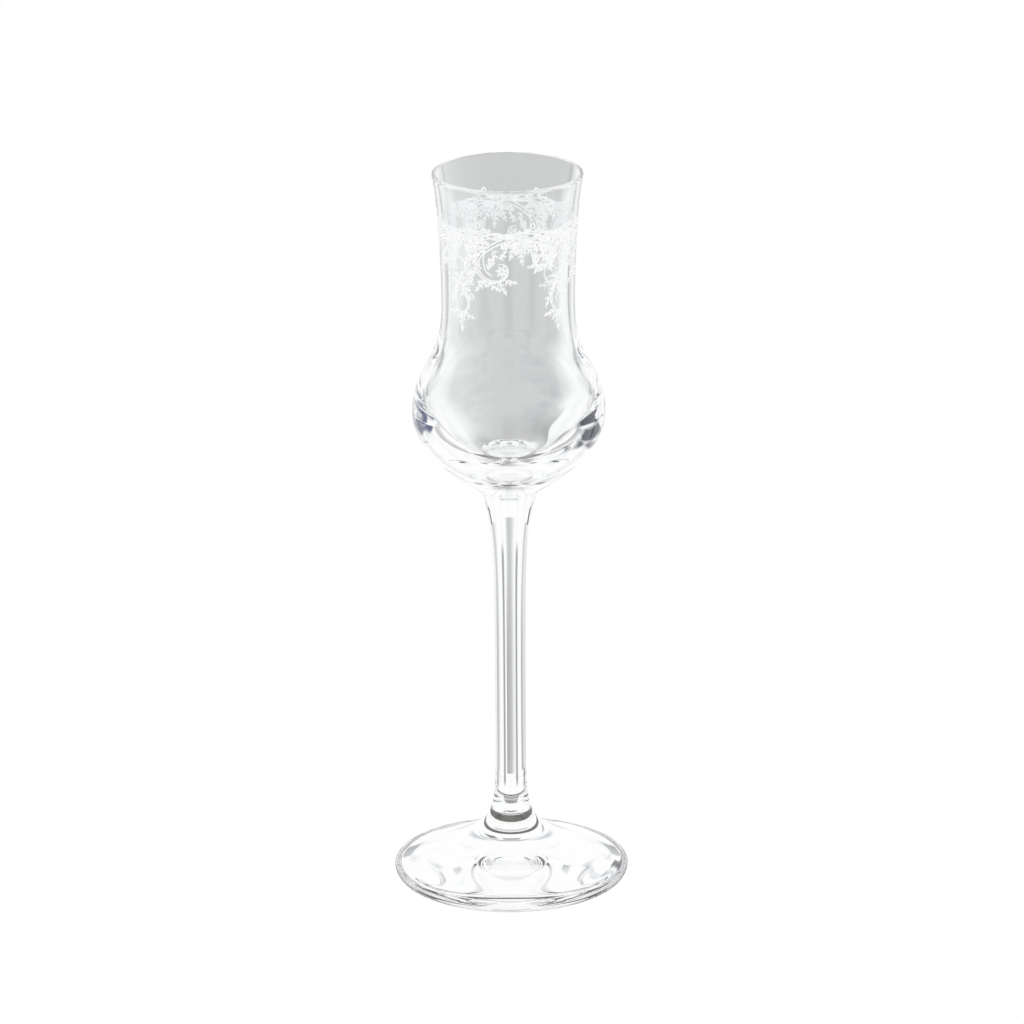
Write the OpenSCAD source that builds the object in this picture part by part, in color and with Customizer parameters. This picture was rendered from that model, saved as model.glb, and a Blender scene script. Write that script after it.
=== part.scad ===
// Stemmed tulip glass for spirits, blown and drawn in clear crystal.
// Three pieces of glass are made hot and fused end to end: a bowl, a solid stem and a foot.
// Every piece is a solid of revolution about Z. Z is up, and z = 0 is the surface that the glass stands on.
// Units are millimetres.

/* [Overall] */
// Height from the table to the top of the rim
total_h = 200; // [190:1:210]

/* [Bowl] */
// Outside diameter at the rim
rim_d = 40.4; // [38:0.2:43]
// Outside diameter at the narrowest place of the neck
neck_d = 35.9; // [34:0.2:37]
// Outside diameter at the widest place of the belly
belly_d = 51.9; // [49:0.2:55]
// Distance from the rim down to the fused joint with the stem
bowl_h = 89; // [86:1:92]
// Wall at the rim, which is fire polished to a full round
rim_wall = 1.0; // [0.8:0.1:1.4]
// Wall of the neck
neck_wall = 1.3; // [1.1:0.1:1.8]
// Wall of the belly
belly_wall = 2.3; // [1.8:0.1:2.8]
// Glass left under the bottom of the hollow
base_wall = 7.8; // [6.8:0.2:8.6]

/* [Stem] */
// Diameter of the straight part of the stem
stem_d = 8.2; // [7.4:0.2:9.4]
// Diameter of the stem's top face, where it is fused to the bowl
stem_top_d = 15.8; // [15:0.2:16.8]
// Height over which the upper flare falls to about a third
top_flare_h = 9; // [6:0.5:11]
// Diameter of the stem's lower face, where it is fused to the foot
stem_foot_d = 21.2; // [19:0.2:23]
// Height over which the lower flare falls to about a third
foot_flare_h = 4.2; // [3.4:0.2:5.4]

/* [Foot] */
// Diameter of the foot
foot_d = 64; // [60:1:68]
// Height of the foot at the joint with the stem
foot_h = 12.8; // [11:0.2:14]
// Thickness of the foot's rounded edge
foot_edge_h = 3.8; // [3.2:0.2:4.4]
// Height of the hollow under the middle of the foot
foot_hollow_h = 4.2; // [3:0.2:5.4]
// Inner diameter of the flat ring that the foot stands on
rest_inner_d = 54; // [50:1:56]
// Outer diameter of the flat ring that the foot stands on
rest_outer_d = 58.4; // [57.6:0.2:59]

/* [Hidden] */
$fn = 192;

joint_z = total_h - bowl_h;
hollow_z = joint_z + base_wall;
glass_tint = [0.90, 0.94, 0.95, 0.45];

// Points along one span of a uniform cubic B-spline with control points a, b, c and d.
function span(a, b, c, d, steps) = [
    for (i = [0 : steps - 1])
        let (t = i / steps, u = 1 - t)
            (u * u * u * a + (4 - 6 * t * t + 3 * t * t * t) * b
                + (4 - 6 * u * u + 3 * u * u * u) * c + t * t * t * d) / 6
];

// The point beyond the end of a curve: straight on from its last two points, or b's mirror image in the axis.
function beyond(b, end, mirrored) = mirrored ? [-b[0], b[1]] : 2 * end - b;

// A curve of continuous curvature along the points of p. It starts on the first point, and passes the others
// within a few hundredths. A mirrored curve ends square to the axis.
function smooth(p, steps, mirrored = false) =
    let (
        n = len(p) - 1,
        q = concat([beyond(p[1], p[0], false)], p, [beyond(p[n - 1], p[n], mirrored)]),
        c = [for (i = [1 : n + 1]) q[i] - (q[i - 1] - 2 * q[i] + q[i + 1]) / 6],
        s = concat([beyond(c[1], c[0], false)], c, [beyond(c[n - 1], c[n], mirrored)])
    )
    [
        for (i = [0 : n - 1])
            each span(s[i], s[i + 1], s[i + 2], s[i + 3], steps),
        (s[n] + 4 * s[n + 1] + s[n + 2]) / 6
    ];

// A circular or elliptical arc about centre c, from angle a0 to a1.
function arc(c, rx, rz, a0, a1, steps) = [
    for (i = [0 : steps])
        let (a = a0 + (a1 - a0) * i / steps)
            c + [rx * cos(a), rz * sin(a)]
];

// Turns a closed outline of [radius, height] points into a solid about Z.
module turned(outline) {
    rotate_extrude() polygon(outline);
}

// ---- Bowl ----

// Heights of the profile's landmarks, measured down from the rim.
belly_z = total_h - 66;
neck_z = total_h - 35;
rim_r = rim_d / 2;
neck_r = neck_d / 2;
belly_r = belly_d / 2;
joint_r = stem_top_d / 2;

// Outside of the bowl, from the joint up to just under the rim's round.
bowl_outside = smooth([
    [joint_r, joint_z],
    [joint_r + 4.0, joint_z + 3],
    [joint_r + 11.8, joint_z + 9],
    [belly_r - 0.95, belly_z - 6],
    [belly_r, belly_z],
    [belly_r - 0.8, belly_z + 6],
    [belly_r - 4.5, belly_z + 14],
    [neck_r + 0.68, neck_z - 10],
    [neck_r, neck_z],
    [neck_r + 0.4, neck_z + 14],
    [neck_r + 1.15, neck_z + 26],
    [rim_r, total_h - rim_wall / 2]
], 7);

// Inside of the bowl, from under the rim's round down to the axis.
bowl_inside = smooth([
    [rim_r - rim_wall, total_h - rim_wall / 2],
    [neck_r + 1.05 - rim_wall, neck_z + 26],
    [neck_r + 0.4 - neck_wall, neck_z + 14],
    [neck_r - neck_wall, neck_z],
    [neck_r + 0.65 - neck_wall, neck_z - 10],
    [belly_r - 4.2 - belly_wall, belly_z + 13.2],
    [belly_r - 0.9 - belly_wall, belly_z + 6],
    [belly_r - 1.0 - belly_wall, belly_z + 0.4],
    [belly_r - 3.05 - belly_wall, belly_z - 4.8],
    [belly_r - 7.25 - belly_wall, hollow_z + 5.8],
    [10.8, hollow_z + 2.4],
    [5.2, hollow_z + 0.6],
    [0, hollow_z]
], 7, mirrored = true);

rim_round = arc([rim_r - rim_wall / 2, total_h - rim_wall / 2], rim_wall / 2, rim_wall / 2, 15, 165, 8);

module bowl() {
    color(glass_tint)
        turned(concat([[0, joint_z]], bowl_outside, rim_round, bowl_inside));
}

// ---- Stem ----

stem_r = stem_d / 2;

// Radius of the stem at height z: a straight rod with an exponential flare at each end.
function stem_radius(z) = stem_r
    + (stem_top_d / 2 - stem_r) * exp((z - joint_z) / top_flare_h)
    + (stem_foot_d / 2 - stem_r) * exp((foot_h - z) / foot_flare_h);

// Heights of the outline's points, closer together where the flares are steep.
stem_steps = 64;
stem_heights = [
    for (i = [0 : stem_steps])
        foot_h + (joint_z - foot_h) * (1 - cos(180 * i / stem_steps)) / 2
];

module stem() {
    color(glass_tint)
        turned(concat(
            [[0, foot_h]],
            [for (z = stem_heights) [stem_radius(z), z]],
            [[0, joint_z]]
        ));
}

// ---- Foot ----

foot_r = foot_d / 2;
rest_inner_r = rest_inner_d / 2;
rest_outer_r = rest_outer_d / 2;
edge_z = foot_edge_h * 0.8;

// Underside, from the middle of the hollow out to the ring that the foot stands on.
foot_under = [
    for (i = [0 : 24])
        let (s = i / 24)
            [rest_inner_r * s, foot_hollow_h * pow(cos(90 * s), 1.5)]
];

// The edge: a wide round below its widest place and a tight one above it.
foot_edge = concat(
    arc([rest_outer_r, edge_z], foot_r - rest_outer_r, edge_z, -90, 0, 12),
    arc([foot_r - 0.7, edge_z], 0.7, foot_edge_h - edge_z, 10, 70, 5)
);

// Upper face, from the edge up to the joint: slightly hollow, so it steepens towards the stem.
foot_top = [
    for (i = [0 : 20])
        let (s = i / 20)
            [
                foot_r - 1.1 - (foot_r - 1.1 - stem_foot_d / 2) * s,
                foot_edge_h + (foot_h - foot_edge_h) * (0.8 * s + 0.2 * s * s)
            ]
];

module foot() {
    color(glass_tint)
        turned(concat(foot_under, foot_edge, foot_top, [[0, foot_h]]));
}

bowl();
stem();
foot();
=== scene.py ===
"""A stemmed tulip glass for spirits on white: three fused pieces of clear glass, etched below the rim.

Units are metres, in the CAD frame: z = 0 is the surface that the glass stands on, and Z is its axis.
The camera stands on the -Y side.
"""

import math

import bmesh
import bpy
from mathutils import Matrix, Vector


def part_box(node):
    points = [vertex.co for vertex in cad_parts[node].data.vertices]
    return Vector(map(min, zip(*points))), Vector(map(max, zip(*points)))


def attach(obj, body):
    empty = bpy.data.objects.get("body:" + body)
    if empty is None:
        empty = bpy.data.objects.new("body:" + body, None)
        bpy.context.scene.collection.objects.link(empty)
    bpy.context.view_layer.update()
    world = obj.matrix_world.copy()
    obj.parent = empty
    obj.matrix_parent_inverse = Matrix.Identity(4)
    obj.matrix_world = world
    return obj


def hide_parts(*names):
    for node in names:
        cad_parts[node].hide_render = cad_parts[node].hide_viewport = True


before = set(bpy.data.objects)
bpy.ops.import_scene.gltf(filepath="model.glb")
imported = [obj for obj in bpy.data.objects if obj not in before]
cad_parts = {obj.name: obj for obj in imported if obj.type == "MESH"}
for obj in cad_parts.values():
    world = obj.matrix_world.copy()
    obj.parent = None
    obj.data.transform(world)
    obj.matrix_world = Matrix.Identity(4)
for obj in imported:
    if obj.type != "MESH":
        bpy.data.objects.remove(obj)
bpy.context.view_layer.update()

MM = 0.001
TAU = 2 * math.pi
SAME_RING = 0.02 * MM           # CAD vertices nearer than this to a ring are on it
AXIS_R = 0.001 * MM             # a ring smaller than this is a point on the axis
STRAIGHT = math.radians(0.05)   # an outline that turns less than this at a point is straight there
CORNER = math.radians(24)       # an outline or a surface that turns more than this has a corner there
WHITE = (1.0, 1.0, 1.0, 1)

# ---- Frame values ----

TOTAL_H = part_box("bowl")[1].z
JOINT_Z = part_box("bowl")[0].z
FOOT_TOP_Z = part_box("foot")[1].z


# ---- Geometry helpers ----

def new_piece(name, mesh):
    """Makes an object of a mesh and rides it on the one rigid body."""
    piece = bpy.data.objects.new(name, mesh)
    bpy.context.scene.collection.objects.link(piece)
    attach(piece, "root")
    return piece


def mesh_of(bm, name):
    """Turns a finished bmesh into a mesh."""
    mesh = bpy.data.meshes.new(name)
    bm.to_mesh(mesh)
    bm.free()
    return mesh


def outline_of(node):
    """The CAD node's half outline, as (radius, height) points.

    It starts at the end that lies farther out. Every vertex of a turned solid lies on a ring about Z, and the
    mesh's edges say which rings are neighbours.
    """
    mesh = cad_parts[node].data
    rings, ring_of_key, ring_of_vertex = [], {}, []
    for vertex in mesh.vertices:
        point = (math.hypot(vertex.co.x, vertex.co.y), vertex.co.z)
        key = (round(point[0], 6), round(point[1], 6))
        if key not in ring_of_key:
            near = [i for i, ring in enumerate(rings) if math.dist(ring, point) < SAME_RING]
            if not near:
                rings.append(point)
            ring_of_key[key] = near[0] if near else len(rings) - 1
        ring_of_vertex.append(ring_of_key[key])
    links = {i: set() for i in range(len(rings))}
    for edge in mesh.edges:
        a, b = (ring_of_vertex[i] for i in edge.vertices)
        if a != b:
            links[a].add(b)
            links[b].add(a)
    ends = [i for i in links if len(links[i]) == 1]
    path = [max(ends, key=lambda i: rings[i][0])]
    while True:
        onward = [i for i in links[path[-1]] if i not in path]
        if not onward:
            return [rings[i] for i in path]
        path.append(min(onward, key=lambda i: math.dist(rings[i], rings[path[-1]])))


def smooth_outline(points, spacing):
    """Refines an outline to the spacing on a smooth curve through its points. Its corners stay sharp."""
    def turn(a, b, c):
        before, after = Vector(b) - Vector(a), Vector(c) - Vector(b)
        return before.angle(after, 0.0)

    inner = [b for a, b, c in zip(points, points[1:], points[2:]) if turn(a, b, c) > STRAIGHT]
    points = [Vector(p) for p in [points[0]] + inner + [points[-1]]]
    last = len(points) - 1
    chords = [points[i + 1] - points[i] for i in range(last)]
    slopes = [chord / chord.length for chord in chords]
    corner = [i in (0, last) or slopes[i - 1].angle(slopes[i]) > CORNER for i in range(last + 1)]
    tangents = []
    for i in range(last + 1):
        if corner[i]:
            tangents.append(None)
            continue
        h0, h1 = chords[i - 1].length, chords[i].length
        tangents.append((slopes[i - 1] * h1 + slopes[i] * h0) / (h0 + h1))
    refined = [points[0]]
    for i in range(last):
        p0, p1, h = points[i], points[i + 1], chords[i].length
        m0 = (tangents[i] or slopes[i]) * h
        m1 = (tangents[i + 1] or slopes[i]) * h
        steps = max(1, round(h / spacing))
        for k in range(1, steps + 1):
            t = k / steps
            refined.append(p0 * (2 * t ** 3 - 3 * t ** 2 + 1) + m0 * (t ** 3 - 2 * t ** 2 + t)
                           + p1 * (3 * t ** 2 - 2 * t ** 3) + m1 * (t ** 3 - t ** 2))
    return [Vector((p.x, max(p.y, 0.0))) for p in refined]


def lathe(name, outline, turns, fused_heights):
    """Turns an outline into a closed mesh. Faces flat at a fused height get the second material slot."""
    bm = bmesh.new()
    rings = []
    closed = list(outline)
    if closed[0].x > AXIS_R:
        closed.insert(0, Vector((0.0, closed[0].y)))
    if closed[-1].x > AXIS_R:
        closed.append(Vector((0.0, closed[-1].y)))
    for point in closed:
        if point.x <= AXIS_R:
            rings.append([bm.verts.new((0.0, 0.0, point.y))])
            continue
        angles = [TAU * k / turns for k in range(turns)]
        rings.append([bm.verts.new((point.x * math.cos(a), point.x * math.sin(a), point.y)) for a in angles])
    for low, high, p, q in zip(rings, rings[1:], closed, closed[1:]):
        flat = any(abs(p.y - h) < SAME_RING and abs(q.y - h) < SAME_RING for h in fused_heights)
        for k in range(turns):
            n = (k + 1) % turns
            corners = [low[k % len(low)], low[n % len(low)], high[n % len(high)], high[k % len(high)]]
            face = bm.faces.new(list(dict.fromkeys(corners)))
            face.smooth = not flat
            face.material_index = 1 if flat else 0
    bmesh.ops.recalc_face_normals(bm, faces=bm.faces[:])
    for edge in bm.edges:
        edge.smooth = len(edge.link_faces) == 2 and edge.calc_face_angle(0.0) < CORNER
    return mesh_of(bm, name)


# ---- Materials ----

IOR = 1.52
TINT = (0.985, 0.99, 0.99, 1)
WAVE_SCALE = 55.0               # waves on the surface of the glass
WAVE_HEIGHT = 0.05 * MM
HAZE_SCALE = 160.0              # patches where the glass is a little less clear
HAZE_ROUGHNESS = 0.012


class Maths:
    """Short names for the math nodes of one node tree."""

    def __init__(self, tree):
        self.nodes, self.links = tree.nodes, tree.links

    def feed(self, socket, value):
        """Links a socket's value, or sets a plain one."""
        if isinstance(value, bpy.types.NodeSocket):
            self.links.new(value, socket)
        else:
            socket.default_value = value

    def do(self, operation, *values):
        """One operation of the math node."""
        node = self.nodes.new("ShaderNodeMath")
        node.operation = operation
        for socket, value in zip(node.inputs, values):
            self.feed(socket, value)
        return node.outputs[0]

    def fade(self, value, start, end, low=0.0, high=1.0):
        """Goes smoothly from low to high as the value goes from start to end."""
        node = self.nodes.new("ShaderNodeMapRange")
        node.interpolation_type = "SMOOTHSTEP"
        for socket, number in zip(node.inputs, (value, start, end, low, high)):
            self.feed(socket, number)
        return node.outputs[0]

    def mix(self, factor, first, second):
        """The first colour at a factor of 0 and the second at 1."""
        node = self.nodes.new("ShaderNodeMix")
        node.data_type = "RGBA"
        self.feed(node.inputs["Factor"], factor)
        colours = [socket for socket in node.inputs if socket.type == "RGBA"]
        self.feed(colours[0], first)
        self.feed(colours[1], second)
        return [socket for socket in node.outputs if socket.type == "RGBA"][0]

    def noise(self, scale, detail=2.0):
        """A noise that is fixed to the object."""
        node = self.nodes.new("ShaderNodeTexNoise")
        node.inputs["Scale"].default_value = scale
        node.inputs["Detail"].default_value = detail
        self.links.new(self.nodes.new("ShaderNodeTexCoord").outputs["Object"], node.inputs["Vector"])
        return node.outputs[0]

    def bump(self, height, distance, strength=1.0):
        """The normal of a surface that a height between 0 and 1 raises by up to the distance."""
        node = self.nodes.new("ShaderNodeBump")
        node.inputs["Strength"].default_value = strength
        node.inputs["Distance"].default_value = distance
        self.links.new(height, node.inputs["Height"])
        return node.outputs["Normal"]

    def across_uv(self):
        """The two numbers of the UV map."""
        split = self.nodes.new("ShaderNodeSeparateXYZ")
        self.links.new(self.nodes.new("ShaderNodeUVMap").outputs[0], split.inputs[0])
        return split.outputs[0], split.outputs[1]


def node_material(name):
    """A new node material, its maths and the socket for its surface."""
    material = bpy.data.materials.new(name)
    material.use_nodes = True
    m = Maths(material.node_tree)
    m.nodes.clear()
    return material, m, m.nodes.new("ShaderNodeOutputMaterial").inputs["Surface"]


def glass_material(name):
    """Clear crystal: a Principled glass with a faint waviness left by the fire polish."""
    material, m, surface = node_material(name)
    shader = m.nodes.new("ShaderNodeBsdfPrincipled")
    shader.inputs["Base Color"].default_value = TINT
    shader.inputs["Transmission Weight"].default_value = 1.0
    shader.inputs["IOR"].default_value = IOR
    m.feed(shader.inputs["Roughness"], m.fade(m.noise(HAZE_SCALE), 0.45, 0.75, 0.0, HAZE_ROUGHNESS))
    m.feed(shader.inputs["Normal"], m.bump(m.noise(WAVE_SCALE, 1.0), WAVE_HEIGHT))
    m.links.new(shader.outputs["BSDF"], surface)
    return material


def fused_material():
    """The inside of a fused joint, where light passes from one piece of glass into the next unchanged."""
    material, m, surface = node_material("fused_joint")
    m.links.new(m.nodes.new("ShaderNodeBsdfTransparent").outputs["BSDF"], surface)
    return material


def emission_material(name, colour=WHITE, strength=1.0):
    """A material that gives light, with its maths and the socket of its colour."""
    material, m, surface = node_material(name)
    shader = m.nodes.new("ShaderNodeEmission")
    shader.inputs["Color"].default_value = colour
    shader.inputs["Strength"].default_value = strength
    m.links.new(shader.outputs["Emission"], surface)
    return material, m, shader.inputs["Color"]


# ---- The glass ----

fused = fused_material()
GLASS = {
    "bowl": dict(spacing=0.6 * MM, turns=192, fused=[JOINT_Z]),
    "stem": dict(spacing=0.6 * MM, turns=128, fused=[JOINT_Z, FOOT_TOP_Z]),
    "foot": dict(spacing=0.4 * MM, turns=224, fused=[FOOT_TOP_Z]),
}
for node, look in GLASS.items():
    outline = smooth_outline(outline_of(node), look["spacing"])
    mesh = lathe("glass_" + node, outline, look["turns"], look["fused"])
    mesh.materials.append(glass_material(node + "_glass"))
    mesh.materials.append(fused)
    piece = new_piece("glass_" + node, mesh)
    piece.visible_diffuse = False       # so the glass keeps no light from the frost behind it
    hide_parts(node)


# ---- The etched band ----

# The pattern is drawn flat, in millimetres: u runs around the glass to the right, and v runs up from the
# middle of the ribbon. Each stroke then becomes a low ridge of frosted glass on the outside of the bowl.
RIBBON_Z = TOTAL_H - 12.7 * MM
RIBBON_R = 18.8                 # radius of the bowl's outside at the ribbon
BAND_LENGTH = TAU * RIBBON_R
REPEATS = 4
REPEAT = BAND_LENGTH / REPEATS
FIRST_PENDANT = -43.0           # degrees around from the -Y side towards +X
RIDGE_GAP = 0.012 * MM          # between the glass and the underside of a ridge
RIDGE_HEIGHT = 0.05 * MM
STEP = 0.30                     # spacing of a stroke's points
LINE = 0.42                     # width of an ordinary line
FINE_LINE = 0.20                # width of a petal's outline
LARGE_PETAL = 1.7               # a petal longer than this has an outline too
FROST_LOW = (0.82, 0.83, 0.85, 1)
FROST_HIGH = WHITE
GRAIN_SCALE = 2600.0            # the fine grain of the frost
GRAIN_HEIGHT = 0.02 * MM
PATCH_SCALE = 700.0             # patches where the frost is smoother or rougher

# Strands of the ribbon: waves around the glass, height of a wave, phase in degrees and width of the line.
RIBBON = [
    (8, 0.78, 0, 0.42), (8, 0.78, 180, 0.42), (12, 0.50, 70, 0.34), (12, 0.50, 250, 0.34),
    (4, 1.15, 40, 0.34), (4, 1.15, 220, 0.34),
]


def polar(centre, radius, degrees):
    a = math.radians(degrees)
    return (centre[0] + radius * math.cos(a), centre[1] + radius * math.sin(a))


def flow(points):
    """A smooth curve through a few points, sampled every STEP."""
    pts = [Vector(p) for p in points]
    pts = [2 * pts[0] - pts[1]] + pts + [2 * pts[-1] - pts[-2]]
    out = [pts[1]]
    for a, b, c, d in zip(pts, pts[1:], pts[2:], pts[3:]):
        steps = max(2, round((c - b).length / STEP))
        for k in range(1, steps + 1):
            t = k / steps
            out.append(0.5 * (2 * b + (c - a) * t + (2 * a - 5 * b + 4 * c - d) * t ** 2
                              + (3 * b - a - 3 * c + d) * t ** 3))
    return out


def spiral(centre, r_start, r_end, a_start, a_end):
    """A spiral about a centre. Its angle, in degrees, goes evenly and its radius a little faster at first."""
    turns = abs(a_end - a_start) / 360
    steps = max(6, round(turns * TAU * (r_start + r_end) / 2 / STEP))
    points = []
    for k in range(steps + 1):
        t = k / steps
        radius = r_start + (r_end - r_start) * t ** 0.85
        points.append(Vector(polar(centre, radius, a_start + (a_end - a_start) * t)))
    return points


def ahead(points, i):
    """The way that a curve runs at its point i."""
    return points[min(i + 1, len(points) - 1)] - points[max(i - 1, 0)]


def across(points, i):
    """The unit vector to the left of a curve at its point i."""
    way = ahead(points, i)
    return Vector((-way.y, way.x)).normalized()


def line_width(t):
    """Width of an ordinary line along its length, which is thin at both ends."""
    return min(1.0, 0.35 + 6 * t, 0.35 + 6 * (1 - t))


def petal_width(t):
    """Width of a petal: widest before the middle, and drawn out to a point at its tip."""
    return max(0.06, math.sin(math.pi * (0.08 + 0.92 * t) ** 0.8) ** 0.9)


class Pen:
    """Collects strokes of one kind: lists of points, with a width at each point."""

    def __init__(self):
        self.strokes = []

    def line(self, points, width=LINE, shape=line_width):
        """One stroke, whose shape says how its width goes along it."""
        last = len(points) - 1
        self.strokes.append([(Vector(p), width * shape(i / last)) for i, p in enumerate(points)])

    def double(self, points, gap, width=LINE * 0.8):
        """Two lines side by side that come together at the end of the curve."""
        last = len(points) - 1
        for side in (-1, 1):
            shifted = []
            for i, p in enumerate(points):
                shifted.append(p + across(points, i) * (side * gap / 2 * (1 - (i / last) ** 2)))
            self.line(shifted, width)

    def petal(self, foot, degrees, length, width, bend=0.0):
        """A pointed petal that starts at its foot and bends by so many degrees towards its tip."""
        middle = polar(foot, length * 0.55, degrees)
        tip = polar(middle, length * 0.45, degrees + bend)
        curve = flow([foot, middle, tip])
        self.line(curve, width, petal_width)
        if length > LARGE_PETAL:
            last = len(curve) - 1
            for side in (-1, 1):
                edge = []
                for i, p in enumerate(curve):
                    reach = 0.12 + width * 0.75 * petal_width(i / last)
                    edge.append(p + across(curve, i) * (side * reach))
                self.line(edge, FINE_LINE)

    def leaf(self, foot, degrees, length, bend=18.0, lobes=3):
        """An acanthus leaf: a midrib with pairs of lobes that get shorter towards the tip."""
        middle = polar(foot, length * 0.5, degrees + bend * 0.2)
        rib = flow([foot, middle, polar(foot, length, degrees + bend)])
        self.line(rib, LINE * 0.9)
        for k in range(lobes):
            t = 0.18 + 0.62 * k / max(lobes - 1, 1)
            i = round(t * (len(rib) - 1))
            way = ahead(rib, i)
            heading = math.degrees(math.atan2(way.y, way.x))
            reach = length * (0.46 - 0.10 * k)
            for side in (-1, 1):
                self.petal(rib[i], heading + side * (62 - 9 * k), reach, 0.50, -side * 38)
        self.petal(rib[-2], degrees + bend, length * 0.3, 0.5)

    def rosette(self, centre, radius, petals, start):
        """A flower of petals around a small ring. Its first petal points in the start direction."""
        for k in range(petals):
            heading = start + 360 * k / petals
            self.petal(polar(centre, radius * 0.22, heading), heading, radius * 0.78, 0.7, 10)
        self.line(spiral(centre, radius * 0.24, radius * 0.24, 0, 350), LINE * 0.8)


def surface_point(outline, u, v, lift):
    """The point of the bowl's outside at (u, v), lifted along its normal."""
    z = RIBBON_Z + v * MM
    for low, high in zip(outline, outline[1:]):
        if low.y <= z <= high.y:
            t = (z - low.y) / (high.y - low.y)
            radius = low.x + (high.x - low.x) * t
            slope = Vector((high.y - low.y, low.x - high.x)).normalized()
            break
    radius += lift * slope.x
    z += lift * slope.y
    a = u / BAND_LENGTH * TAU + math.radians(FIRST_PENDANT)
    return (radius * math.sin(a), -radius * math.cos(a), z)


def etched_mesh(name, strokes, outline):
    """Ridges of three sides along every stroke. Each is a closed solid that stays clear of the glass."""
    bm = bmesh.new()
    for stroke in strokes:
        rings = []
        points = [point for point, width in stroke]
        for i, (point, width) in enumerate(stroke):
            half = across(points, i) * (width / 2)
            crest = RIDGE_GAP + RIDGE_HEIGHT * min(1.0, width / LINE)
            left, right = point + half, point - half
            rings.append([
                bm.verts.new(surface_point(outline, left.x, left.y, RIDGE_GAP)),
                bm.verts.new(surface_point(outline, point.x, point.y, crest)),
                bm.verts.new(surface_point(outline, right.x, right.y, RIDGE_GAP)),
            ])
        for low, high in zip(rings, rings[1:]):
            for k in range(3):
                n = (k + 1) % 3
                bm.faces.new((low[k], low[n], high[n], high[k]))
        bm.faces.new(rings[0][::-1])
        bm.faces.new(rings[-1])
    bmesh.ops.recalc_face_normals(bm, faces=bm.faces[:])
    return mesh_of(bm, name)


def draw_ribbon(pen):
    """Long strands that wind about each other all the way around, with small curls on top."""
    count = round(BAND_LENGTH / STEP)
    for waves, height, phase, width in RIBBON:
        points = []
        for k in range(count + 1):
            t = k / count
            swing = math.sin(TAU * waves * t + math.radians(phase))
            ripple = math.sin(TAU * (waves + 11) * t + math.radians(phase))
            points.append(Vector((BAND_LENGTH * t, height * swing + 0.14 * ripple)))
        pen.line(points, width, lambda t: 1.0)
    for n in range(REPEATS * 2):
        u = (n + 0.40) * REPEAT / 2
        pen.line(spiral((u, 2.75), 0.80, 0.35, -80, 300), LINE)
        pen.line(flow([(u - 3.0, 0.8), (u - 1.4, 1.6), (u + 0.1, 1.9)]), LINE)
        for foot, degrees, length in ((0.9, 35, 1.8), (-1.6, 125, 1.5), (-2.6, 150, 1.6), (2.2, 20, 1.8)):
            pen.petal((u + foot, 0.9), degrees, length, 0.55, 25 if degrees < 90 else -25)


def draw_pendant(pen, u):
    """The deep drop: a winding stem with leaves on both sides and a loop with three leaves at its foot."""
    stem = flow([(u + 2.2, -0.8), (u - 0.9, -4.2), (u + 0.9, -9.0), (u - 0.6, -13.6), (u - 2.5, -17.8),
                 (u - 0.4, -22.4), (u + 2.4, -20.2), (u + 1.2, -17.0), (u - 0.8, -18.0), (u - 0.3, -20.2)])
    pen.double(stem, 0.85)
    side_stem = flow([(u - 4.6, -0.8), (u - 1.8, -3.0), (u - 3.6, -7.0), (u - 1.2, -10.4)])
    pen.double(side_stem, 0.8)
    pen.double(flow([(u + 5.6, -0.6), (u + 4.2, -4.0), (u + 2.0, -7.0), (u + 1.2, -10.0)]), 0.8)
    for foot, heading, length, bend in (
            ((-0.4, -22.2), -92, 4.6, 10), ((0.8, -21.8), -48, 3.4, 26), ((-1.4, -21.4), -134, 3.2, -26),
            ((-0.8, -4.6), 215, 4.6, 30), ((0.8, -8.8), -28, 4.8, -34), ((0.2, -11.8), 222, 5.2, 22),
            ((-0.4, -14.2), -34, 4.8, -20), ((-2.1, -17.0), 205, 3.6, 34), ((1.6, -2.8), -40, 4.2, -30),
            ((-2.6, -5.6), 250, 4.4, 20), ((-3.4, -6.6), 190, 3.4, -30), ((3.4, -5.2), -70, 4.4, 20),
            ((4.4, -3.6), -10, 3.2, 20), ((0.4, -10.6), -80, 3.6, 24), ((-0.6, -7.0), 170, 3.0, -24)):
        pen.leaf((u + foot[0], foot[1]), heading, length, bend)
    for centre, radius, start, end in (((-3.3, -13.0), 1.2, 30, 420), ((3.2, -12.6), 1.1, 150, -240),
                                       ((3.4, -17.6), 1.0, 150, -230), ((-4.6, -3.8), 1.2, 60, -330)):
        pen.line(spiral((u + centre[0], centre[1]), radius, 0.3, start, end), LINE)


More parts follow.
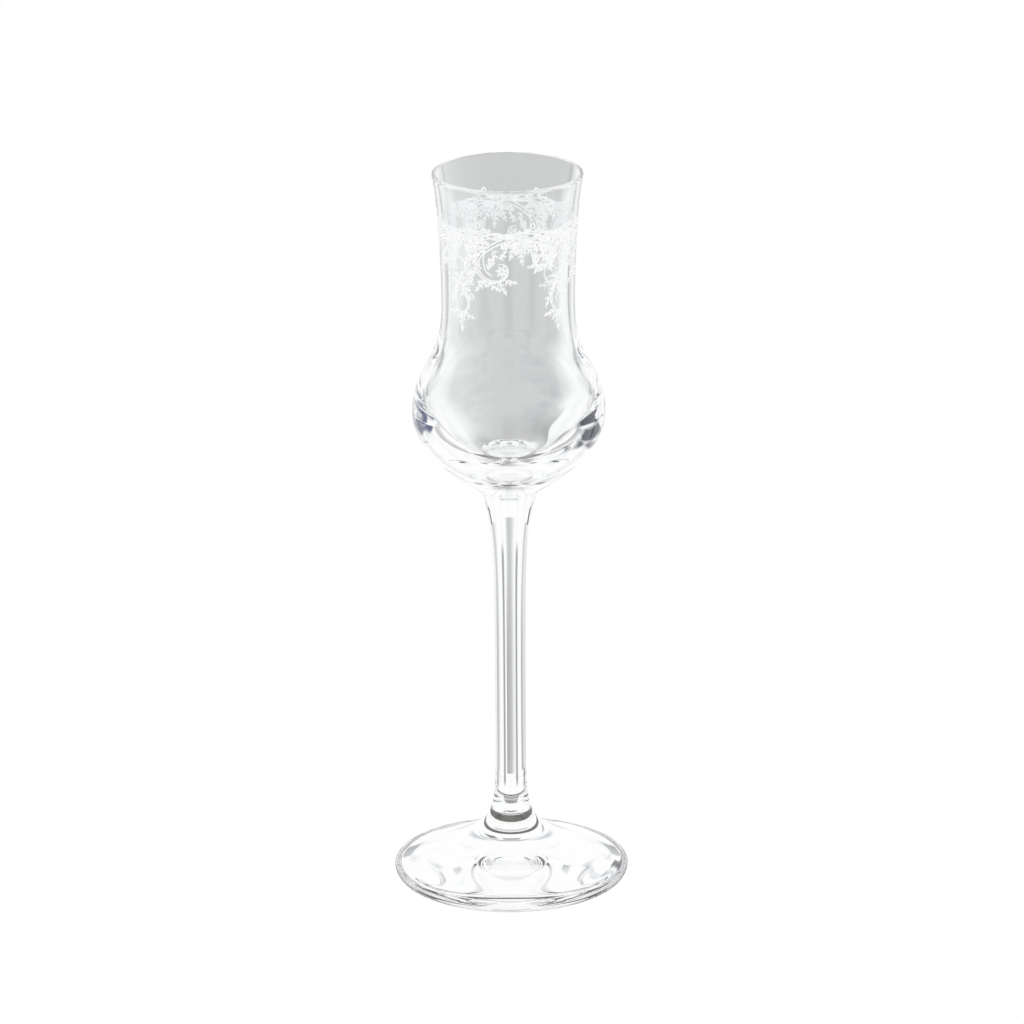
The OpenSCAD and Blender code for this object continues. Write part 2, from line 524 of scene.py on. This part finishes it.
def draw_volute(pen, centre, radius, side):
    """An open C-scroll hung from the ribbon, which winds in to a rosette.

    Leaves fill it and spray from its foot. A side of 1 opens to the right, and -1 to the left.
    """
    def at(x, y):
        return Vector((centre[0] + side * radius * x, centre[1] + radius * y))

    outer = flow([at(1.1, 1.75), at(0.1, 1.25), at(-0.75, 0.55), at(-0.95, -0.25), at(-0.45, -0.95),
                  at(0.45, -1.1), at(1.05, -0.65), at(1.0, -0.05), at(0.5, 0.1)])
    pen.double(outer, 0.95, LINE)
    pen.line(flow([at(-0.35, 1.05), at(-0.5, 0.3), at(-0.35, -0.4), at(0.1, -0.75)]), LINE)
    pen.rosette(at(0.72, -0.42), radius * 0.46, 7, 15)
    turned = (lambda heading: heading) if side > 0 else (lambda heading: 180 - heading)
    for x, y, heading, length, bend in (
            (-0.45, -0.95, -112, 0.95, -16), (-0.1, -1.05, -68, 0.85, 26), (0.6, -1.1, -82, 0.8, 20),
            (0.9, -0.95, -38, 0.75, 24), (-0.9, -0.3, 215, 0.7, 20), (-0.7, 0.6, 170, 0.6, 25),
            (-0.15, 0.5, -60, 0.7, -30), (0.1, 1.0, -52, 0.8, -40), (0.5, 0.45, 20, 0.7, 30),
            (-0.25, -0.3, 70, 0.6, -30)):
        pen.leaf(at(x, y), turned(heading), radius * length, side * bend)


def draw_fan(pen, u, size=1.0):
    """A fan of leaves that hangs from the ribbon between two curls."""
    for side in (-1, 1):
        branch = [(u + side * 4.2 * size, -0.6), (u + side * 1.6 * size, -1.6), (u, -3.4 * size)]
        pen.double(flow(branch), 0.7)
    for x, y, heading, length in (
            (-2.4, -1.2, -150, 3.2), (-1.2, -2.0, -120, 4.2), (0, -3.0, -92, 4.4), (1.2, -2.0, -64, 4.4),
            (2.4, -1.2, -34, 3.4), (0, -1.2, 200, 2.6), (0, -1.2, -20, 2.6)):
        pen.leaf((u + x * size, y * size), heading, length * size, 8)
    for side in (-1, 1):
        start = 90 - side * 90
        pen.line(spiral((u + side * 4.2 * size, -2.4), 1.2, 0.3, start, start - side * 420), LINE)


band = {"ribbon": Pen(), "pendants": Pen(), "volutes": Pen(), "leaves": Pen()}
draw_ribbon(band["ribbon"])
for n in range(REPEATS):
    u = n * REPEAT
    draw_pendant(band["pendants"], u)
    draw_volute(band["volutes"], (u + 9.4, -8.0), 4.2, 1)
    draw_volute(band["volutes"], (u + 24.0, -5.6), 2.7, -1)
    draw_fan(band["leaves"], u + 17.6)
    draw_fan(band["leaves"], u + 4.6, 0.8)
    draw_fan(band["leaves"], u + 26.6, 0.7)


def etched_material():
    """Frosted glass: a white grain of varying roughness."""
    material, m, surface = node_material("etched_frost")
    shader = m.nodes.new("ShaderNodeBsdfPrincipled")
    grain = m.noise(GRAIN_SCALE, 3.0)
    m.feed(shader.inputs["Base Color"], m.mix(m.fade(grain, 0.3, 0.7), FROST_LOW, FROST_HIGH))
    m.feed(shader.inputs["Roughness"], m.fade(m.noise(PATCH_SCALE), 0.3, 0.7, 0.45, 0.7))
    shader.inputs["IOR"].default_value = IOR
    m.feed(shader.inputs["Normal"], m.bump(grain, GRAIN_HEIGHT, 0.4))
    m.links.new(shader.outputs["BSDF"], surface)
    return material


outside = smooth_outline(outline_of("bowl"), GLASS["bowl"]["spacing"])
outside = outside[:max(range(len(outside)), key=lambda i: outside[i].y) + 1]
frost = etched_material()
for part, pen in band.items():
    mesh = etched_mesh("etched_" + part, pen.strokes, outside)
    mesh.materials.append(frost)
    new_piece("etched_" + part, mesh)


# ---- Camera ----

CAMERA_AT = (0.0, -1.602, 0.644)
CAMERA_DOWN = 18.61             # degrees below level
CAMERA_ROLL = -0.34             # degrees
CAMERA_LENS = 219.7
CAMERA_SHIFT = 0.0025
SENSOR_WIDTH = 36.0


def add_camera():
    """A long lens that looks a little down at the glass from the front."""
    camera = bpy.data.cameras.new("camera")
    camera.lens = CAMERA_LENS
    camera.sensor_width = SENSOR_WIDTH
    camera.shift_x = CAMERA_SHIFT
    camera.clip_start = 0.01
    camera.clip_end = 50.0
    eye = bpy.data.objects.new("camera", camera)
    bpy.context.scene.collection.objects.link(eye)
    eye.location = CAMERA_AT
    pitch = math.radians(90 - CAMERA_DOWN)
    roll = math.radians(CAMERA_ROLL)
    turn = Matrix.Rotation(pitch, 4, "X") @ Matrix.Rotation(roll, 4, "Z")
    eye.rotation_euler = turn.to_euler()
    bpy.context.scene.camera = eye


add_camera()


# ---- Stage and light ----

FLOOR_R = 2.5
BACKDROP_R = 3.0
SOFT_LIGHT_R = 2.9              # of a dome that lights the frosted parts only
SOFT_LIGHT = 1.20
BOUNCES = 200                   # light that enters the glass bounces many times before it leaves
CLEAR_BOUNCES = 32              # through fused joints

# Grey cards on the floor around the glass. Each lies between two directions, in degrees from its middle.
CARD_STEP = 45                  # degrees from one card to the next
WEDGE_NEAR = 0.070
WEDGE_FAR = 1.0
WEDGE_LIFT = 0.3 * MM
WEDGE_LEFT = -13.0
WEDGE_RIGHT = 10.0
# How bright a card is across its width near the glass: the direction and the level.
WEDGE_STOPS = [
    (-13, 1.0), (-12, 0.97), (-9, 0.86), (-7, 0.76), (-5, 0.65), (-3, 0.57),
    (0, 0.51), (3, 0.49), (6, 0.42), (9.2, 0.32), (9.9, 1.0),
]
WEDGE_BLUE = 1.005              # blue of the card for a red of 1
FAR_GREY = (0.585, 0.59, 0.595, 1)
# Where the card's colour goes from one to the other: shares of its width and of its far distance.
FAR_LEFT = (0.02, 0.56)
FAR_RIGHT = (0.99, 0.74)
FAR_AWAY = (0.15, 0.315)

# A ring of shade on the floor around the foot.
RING_IN = 29.8 * MM
RING_OUT = 41 * MM
RING_LIFT = 0.05 * MM
RING_SHADE = (0.12, 0.115, 0.105, 1)
RING_FADE = 0.78                # share of its width where it starts to fade

# Dark flags in the white world: direction, half width, lowest and highest elevation and softness, all in
# degrees, and colour. A direction counts from straight behind the glass, which is +Y, towards +X.
FLAGS = [
    (-54, 5, -30, 5, 1.5, (0.06, 0.07, 0.10, 1)),
    (-61, 4, 5, 13, 1.5, (0.38, 0.40, 0.45, 1)),
    (-67, 6, -26, -10, 2, (0.66, 0.68, 0.72, 1)),
    (-82, 8, -24, -12, 3, (0.66, 0.69, 0.73, 1)),
    (52, 4, -30, 5, 1.5, (0.04, 0.05, 0.08, 1)),
    (61, 4, 5, 13, 1.5, (0.38, 0.40, 0.45, 1)),
    (38, 2, -26, -10, 1.5, (0.72, 0.74, 0.78, 1)),
    (19, 5, -54, -43, 2, (0.16, 0.16, 0.17, 1)),
    (-36, 4, -48, -43, 2, (0.36, 0.36, 0.38, 1)),
    (0, 26, -70, -58.5, 1.5, (0.10, 0.09, 0.07, 1)),
    (18, 3, -26, -14, 1.5, (0.34, 0.35, 0.37, 1)),
    (-18, 3, -26, -14, 1.5, (0.34, 0.35, 0.37, 1)),
    (0, 13, 6, 14, 2, (0.58, 0.61, 0.66, 1)),
    (0, 9, -57, -49, 1.5, (0.22, 0.23, 0.24, 1)),
    (-111, 20, 12, 23, 3, (0.015, 0.02, 0.045, 1)),
    (-88, 4, 25, 34, 3, (0.05, 0.06, 0.09, 1)),
    (-141, 5, 5, 14, 2, (0.10, 0.12, 0.18, 1)),
    (-108, 16, 40, 52, 4, (0.10, 0.12, 0.20, 1)),
    (132, 16, 14, 23, 3, (0.03, 0.05, 0.15, 1)),
    (111, 8, 20, 28, 3, (0.05, 0.07, 0.18, 1)),
    (154, 8, 7, 23, 3, (0.28, 0.31, 0.40, 1)),
]


def stage_object(name, mesh, material, seen_by_camera, seen_by_glass):
    """A mesh that belongs to the stage and not to the object."""
    mesh.materials.append(material)
    thing = bpy.data.objects.new(name, mesh)
    bpy.context.scene.collection.objects.link(thing)
    thing.visible_camera = seen_by_camera
    thing.visible_transmission = seen_by_glass
    thing.visible_glossy = seen_by_glass
    return thing


def studio_world():
    """White all around, with soft dark flags that draw the edges of the glass."""
    world = bpy.data.worlds.new("studio")
    bpy.context.scene.world = world
    world.use_nodes = True
    tree = world.node_tree
    m = Maths(tree)
    direction = m.nodes.new("ShaderNodeTexCoord").outputs["Generated"]
    split = m.nodes.new("ShaderNodeSeparateXYZ")
    m.links.new(direction, split.inputs[0])
    x, y, z = split.outputs
    azimuth = m.do("ARCTAN2", x, y)
    elevation = m.do("ARCSINE", z)
    colour = WHITE
    for centre, half, low, high, soft, shade in FLAGS:
        centre, half, low, high, soft = (math.radians(v) for v in (centre, half, low, high, soft))
        off = m.do("ABSOLUTE", m.do("WRAP", m.do("SUBTRACT", azimuth, centre), math.pi, -math.pi))
        across = m.fade(off, half + soft, half - soft)
        above = m.fade(elevation, low - soft, low + soft)
        below = m.fade(elevation, high + soft, high - soft)
        colour = m.mix(m.do("MULTIPLY", across, m.do("MULTIPLY", above, below)), colour, shade)
    m.links.new(colour, tree.nodes["Background"].inputs["Color"])


def uv_sheet(name, grid, closed=False):
    """Quads over rows of (place, uv) points. A closed sheet joins the end of each row to its start."""
    bm = bmesh.new()
    uv = bm.loops.layers.uv.new("across")
    rows = [[(bm.verts.new(place), spot) for place, spot in row] for row in grid]
    for low, high in zip(rows, rows[1:]):
        for c in range(len(low) if closed else len(low) - 1):
            n = (c + 1) % len(low)
            corners = [low[c], low[n], high[n], high[c]]
            face = bm.faces.new([vert for vert, spot in corners])
            for loop, (vert, spot) in zip(face.loops, corners):
                loop[uv].uv = spot
    return mesh_of(bm, name)


def grey_wedge(azimuth):
    """A grey card that lies on the floor and widens away from the glass. Only the glass shows it."""
    rows, columns = 12, 24
    grid = []
    for r in range(rows + 1):
        distance = WEDGE_NEAR + (WEDGE_FAR - WEDGE_NEAR) * (r / rows) ** 1.5
        row = []
        for c in range(columns + 1):
            side = WEDGE_LEFT + (WEDGE_RIGHT - WEDGE_LEFT) * c / columns
            a = math.radians(azimuth + side)
            place = (distance * math.sin(a), distance * math.cos(a), WEDGE_LIFT)
            row.append((place, (c / columns, distance / WEDGE_FAR)))
        grid.append(row)
    return uv_sheet("wedge", grid)


def wedge_material():
    """Grey in steps across the card near the glass, and one soft grey farther out."""
    material, m, colour = emission_material("wedge_grey")
    u, v = m.across_uv()
    ramp = m.nodes.new("ShaderNodeValToRGB")
    m.links.new(u, ramp.inputs["Fac"])
    stops = ramp.color_ramp.elements
    while len(stops) < len(WEDGE_STOPS):
        stops.new(0.5)
    for stop, (side, level) in zip(stops, WEDGE_STOPS):
        stop.position = (side - WEDGE_LEFT) / (WEDGE_RIGHT - WEDGE_LEFT)
        stop.color = (level, level, level * WEDGE_BLUE, 1)
    far = m.do("MULTIPLY", m.fade(u, *FAR_LEFT), m.fade(u, *FAR_RIGHT))
    far_colour = m.mix(far, WHITE, FAR_GREY)
    m.feed(colour, m.mix(m.fade(v, *FAR_AWAY), ramp.outputs["Color"], far_colour))
    return material


def shade_ring():
    """The shade around the foot: dark beside the glass and fading out. Only the glass shows it."""
    sides, steps = 96, 4
    grid = []
    for r in range(steps, -1, -1):
        radius = RING_IN + (RING_OUT - RING_IN) * r / steps
        angles = [TAU * k / sides for k in range(sides)]
        places = [(radius * math.cos(a), radius * math.sin(a), RING_LIFT) for a in angles]
        grid.append([(place, (r / steps, 0)) for place in places])
    return uv_sheet("shade_ring", grid, closed=True)


def shade_material():
    """Dark at the ring's inside and white at its outside."""
    material, m, colour = emission_material("shade")
    u, v = m.across_uv()
    m.feed(colour, m.mix(m.fade(u, RING_FADE, 1.0), RING_SHADE, WHITE))
    return material


def disc(radius, sides=96):
    """A flat disc at z = 0."""
    mesh = bpy.data.meshes.new("disc")
    angles = [TAU * k / sides for k in range(sides)]
    ring = [(radius * math.cos(a), radius * math.sin(a), 0.0) for a in angles]
    mesh.from_pydata(ring, [], [tuple(range(sides))])
    return mesh


def dome(radius):
    """A sphere all around the glass."""
    bm = bmesh.new()
    bmesh.ops.create_uvsphere(bm, u_segments=48, v_segments=24, radius=radius)
    return mesh_of(bm, "dome")


studio_world()
stage_object("floor", disc(FLOOR_R), emission_material("floor_white")[0], True, False)
backdrop = stage_object("backdrop", dome(BACKDROP_R), emission_material("backdrop_white")[0], True, False)
backdrop.visible_diffuse = False
soft_light = emission_material("soft_light", WHITE, SOFT_LIGHT)[0]
stage_object("soft_light", dome(SOFT_LIGHT_R), soft_light, False, False)
stage_object("shade_ring", shade_ring(), shade_material(), False, True)
wedge_grey = wedge_material()
for azimuth in range(0, 360, CARD_STEP):
    stage_object("wedge_%d" % azimuth, grey_wedge(azimuth), wedge_grey, False, True)
scene = bpy.context.scene
scene.view_settings.view_transform = "Standard"
scene.cycles.max_bounces = BOUNCES
scene.cycles.transmission_bounces = BOUNCES
scene.cycles.glossy_bounces = BOUNCES
scene.cycles.transparent_max_bounces = CLEAR_BOUNCES
